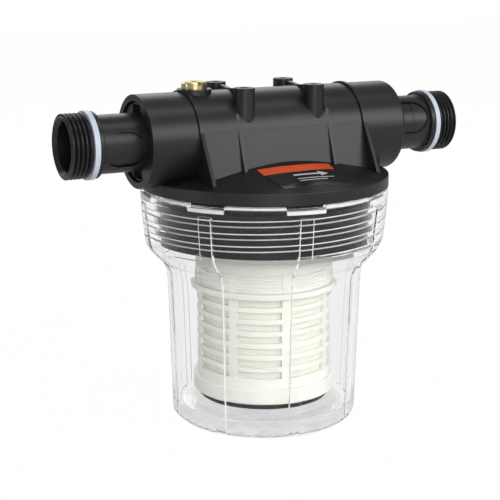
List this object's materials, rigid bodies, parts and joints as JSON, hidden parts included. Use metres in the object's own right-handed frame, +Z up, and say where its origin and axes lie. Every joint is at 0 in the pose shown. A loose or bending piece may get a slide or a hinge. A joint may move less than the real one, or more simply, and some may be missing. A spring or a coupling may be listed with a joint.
{
  "type": "inline water filter",
  "caption": "Black pipe head with threaded nipples and bleed screw, clear screw-on bowl and washable cream filter element for a water pump.",
  "frame": {"origin": "under the bowl, on its axis, at the height of its foot", "axes": "+X from inlet to outlet along the cross pipe, +Z up along the bowl's axis, -Y is the side with the label"},
  "size_m": [0.2278, 0.1344, 0.1855],
  "materials": {
    "black_plastic": "fine-grained satin black",
    "clear_plastic": "clear, polished",
    "cream_plastic": "cream, satin",
    "filter_cloth": "woven polyester",
    "black_rubber": "smooth black rubber",
    "white_washer": "pale grey-white, smooth",
    "brass": "turned brass",
    "label_film": "printed film, orange and black"
  },
  "bodies": {
    "head": {"cross_pipe": "black_plastic", "head_lid": "black_plastic", "head_skirt": "black_plastic", "spigot_tube": "black_plastic", "label_plate": "label_film", "element_top_seal": "black_rubber"},
    "bowl_seal": {"bowl_seal": "black_rubber"},
    "bowl": {"bowl_collar": "clear_plastic", "bowl": "clear_plastic"},
    "element": {"element_top_cap": "cream_plastic", "element_cage": "cream_plastic", "element_mesh": "filter_cloth", "element_core": "cream_plastic", "element_bottom_cap": "cream_plastic", "element_foot_ring": "black_rubber"},
    "inlet_oring": {"inlet_oring": "black_rubber"},
    "inlet_nipple": {"inlet_nipple": "black_plastic", "inlet_washer": "white_washer"},
    "outlet_oring": {"outlet_oring": "black_rubber"},
    "outlet_nipple": {"outlet_nipple": "black_plastic", "outlet_washer": "white_washer"},
    "bleed_seal": {"bleed_seal": "black_rubber"},
    "bleed_screw": {"bleed_screw": "brass"}
  },
  "joints": [
    {"name": "bowl_drop", "type": "slide", "parent": "head", "child": "bowl_seal", "axis": [0, 0, -1], "range_m": [0, 0.141]},
    {"name": "bowl_turn", "type": "hinge", "parent": "bowl_seal", "child": "bowl", "pos_m": [0, 0, 0.1], "axis": [0, 0, -1], "range_deg": [0, 7920]},
    {"name": "element_drop", "type": "slide", "parent": "head", "child": "element", "axis": [0, 0, -1], "range_m": [0, 0.02554]},
    {"name": "inlet_out", "type": "slide", "parent": "head", "child": "inlet_oring", "axis": [-1, 0, 0], "range_m": [0, 0.02088]},
    {"name": "inlet_turn", "type": "hinge", "parent": "inlet_oring", "child": "inlet_nipple", "pos_m": [-0.09, 0, 0.1563], "axis": [-1, 0, 0], "range_deg": [0, 3240]},
    {"name": "outlet_out", "type": "slide", "parent": "head", "child": "outlet_oring", "axis": [1, 0, 0], "range_m": [0, 0.02088]},
    {"name": "outlet_turn", "type": "hinge", "parent": "outlet_oring", "child": "outlet_nipple", "pos_m": [0.09, 0, 0.1563], "axis": [1, 0, 0], "range_deg": [0, 3240]},
    {"name": "bleed_lift", "type": "slide", "parent": "head", "child": "bleed_seal", "axis": [0, 0, 1], "range_m": [0, 0.0121]},
    {"name": "bleed_turn", "type": "hinge", "parent": "bleed_seal", "child": "bleed_screw", "pos_m": [-0.041, 0, 0.18], "axis": [0, 0, 1], "range_deg": [0, 4320]}
  ],
  "couplings": [
    {"joint": "bowl_drop", "follows": "bowl_turn", "m_per_rad": 0.0010186},
    {"joint": "element_drop", "follows": "bowl_turn", "m_per_rad": 0.00018335},
    {"joint": "inlet_out", "follows": "inlet_turn", "m_per_rad": 0.00036749},
    {"joint": "outlet_out", "follows": "outlet_turn", "m_per_rad": 0.00036749},
    {"joint": "bleed_lift", "follows": "bleed_turn", "m_per_rad": 0.00015915}
  ]
}
